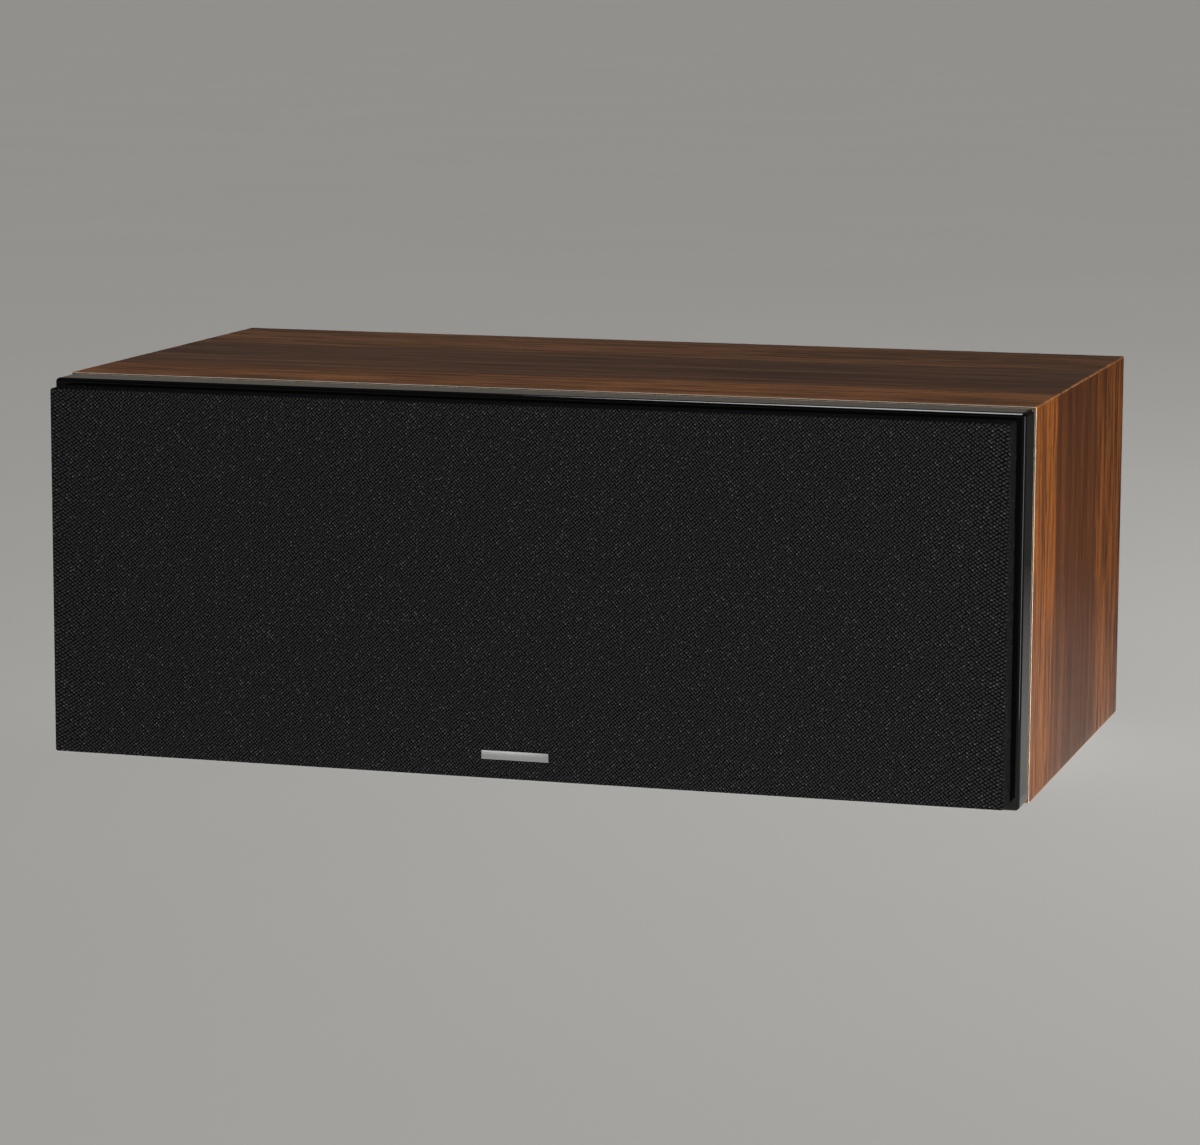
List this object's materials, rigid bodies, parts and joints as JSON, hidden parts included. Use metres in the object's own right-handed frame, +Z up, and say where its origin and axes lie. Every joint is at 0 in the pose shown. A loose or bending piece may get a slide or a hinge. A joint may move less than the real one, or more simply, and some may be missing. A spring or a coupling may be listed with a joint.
{
  "type": "center channel speaker",
  "caption": "Long low loudspeaker box in dark walnut wrap with a gloss black front and a pull-off cloth grille, made to lie under a screen and play the centre channel.",
  "frame": {"origin": "centre of the footprint, on the surface that the rubber feet stand on", "axes": "+X to the right seen from the front, +Y from the grille towards the back, +Z up"},
  "size_m": [0.49, 0.2894, 0.193],
  "materials": {
    "walnut_wrap": "dark walnut foil with a satin top coat",
    "black_gloss_lacquer": "high gloss black lacquer",
    "black_vinyl_board": "board with fine-grained black vinyl",
    "raw_board": "bare fibreboard",
    "black_rubber": "matt moulded rubber",
    "black_frame_board": "black stained fibreboard",
    "grille_cloth": "knitted acoustic cloth",
    "black_plastic": "fine-textured moulded plastic",
    "red_plastic": "clear red moulded plastic",
    "brass": "gold-plated brass",
    "black_steel": "black oxide screws",
    "zinc_steel": "zinc-plated steel",
    "ferrite": "ground ferrite",
    "black_aluminium": "cast and powder coated black",
    "foam": "closed-cell foam",
    "woven_cone": "woven glass-fibre cone with a resin coat",
    "spider_cloth": "resin-dipped cotton",
    "copper_winding": "enamelled copper wire",
    "dome_silk": "coated silk",
    "circuit_board": "green laminate",
    "capacitor_sleeve": "polyester film sleeve",
    "resistor_cement": "cement-filled ceramic",
    "standoff_nylon": "nylon",
    "wadding": "white polyester wadding"
  },
  "bodies": {
    "cabinet": {"black_post": "brass", "cabinet_sleeve": "walnut_wrap", "crossover_board": "circuit_board", "crossover_capacitors": "capacitor_sleeve", "crossover_inductors": "copper_winding", "crossover_resistor": "resistor_cement", "crossover_standoffs": "standoff_nylon", "driver_screws": "black_steel", "front_baffle": "black_gloss_lacquer", "left_brace": "raw_board", "left_damping_pad": "wadding", "left_port": "black_plastic", "left_woofer_basket": "black_aluminium", "left_woofer_gasket": "foam", "left_woofer_magnet": "ferrite", "left_woofer_spider": "spider_cloth", "left_woofer_surround": "black_rubber", "left_woofer_top_plate": "zinc_steel", "left_woofer_yoke": "zinc_steel", "peg_sockets": "black_rubber", "rear_panel": "black_vinyl_board", "red_post": "brass", "right_brace": "raw_board", "right_damping_pad": "wadding", "right_port": "black_plastic", "right_woofer_basket": "black_aluminium", "right_woofer_gasket": "foam", "right_woofer_magnet": "ferrite", "right_woofer_spider": "spider_cloth", "right_woofer_surround": "black_rubber", "right_woofer_top_plate": "zinc_steel", "right_woofer_yoke": "zinc_steel", "rubber_feet": "black_rubber", "terminal_cup": "black_plastic", "terminal_nuts": "brass", "terminal_screws": "black_steel", "tweeter_dome": "dome_silk", "tweeter_faceplate": "black_plastic", "tweeter_gasket": "foam", "tweeter_magnet": "ferrite", "tweeter_top_plate": "zinc_steel", "tweeter_voice_coil": "copper_winding", "tweeter_yoke": "zinc_steel"},
    "grille": {"grille_frame": "black_frame_board", "grille_cloth": "grille_cloth", "grille_pegs": "black_plastic"},
    "left_cone": {"left_woofer_cone": "woven_cone", "left_woofer_dust_cap": "woven_cone", "left_woofer_voice_coil": "copper_winding"},
    "right_cone": {"right_woofer_cone": "woven_cone", "right_woofer_dust_cap": "woven_cone", "right_woofer_voice_coil": "copper_winding"},
    "red_insert": {"red_knob_insert": "brass"},
    "red_knob": {"red_knob": "red_plastic"},
    "black_insert": {"black_knob_insert": "brass"},
    "black_knob": {"black_knob": "black_plastic"}
  },
  "joints": [
    {"name": "grille_pull", "type": "slide", "parent": "cabinet", "child": "grille", "axis": [0, -1, 0], "range_m": [0, 0.15]},
    {"name": "left_cone_stroke", "type": "slide", "parent": "cabinet", "child": "left_cone", "axis": [0, -1, 0], "range_m": [-0.004, 0.004], "stiffness_N_per_m": 1200, "deforming": ["left_woofer_surround", "left_woofer_spider"]},
    {"name": "right_cone_stroke", "type": "slide", "parent": "cabinet", "child": "right_cone", "axis": [0, -1, 0], "range_m": [-0.004, 0.004], "stiffness_N_per_m": 1200, "deforming": ["right_woofer_surround", "right_woofer_spider"]},
    {"name": "red_knob_travel", "type": "slide", "parent": "cabinet", "child": "red_insert", "axis": [0, 1, 0], "range_m": [0, 0.005]},
    {"name": "red_knob_turn", "type": "hinge", "parent": "red_insert", "child": "red_knob", "pos_m": [0.016, 0.11775, 0.098], "axis": [0, 1, 0], "range_deg": [0, 1800]},
    {"name": "black_knob_travel", "type": "slide", "parent": "cabinet", "child": "black_insert", "axis": [0, 1, 0], "range_m": [0, 0.005]},
    {"name": "black_knob_turn", "type": "hinge", "parent": "black_insert", "child": "black_knob", "pos_m": [-0.016, 0.11775, 0.098], "axis": [0, 1, 0], "range_deg": [0, 1800]}
  ],
  "couplings": [
    {"joint": "red_knob_turn", "follows": "red_knob_travel", "rad_per_m": 6283},
    {"joint": "black_knob_turn", "follows": "black_knob_travel", "rad_per_m": 6283}
  ]
}
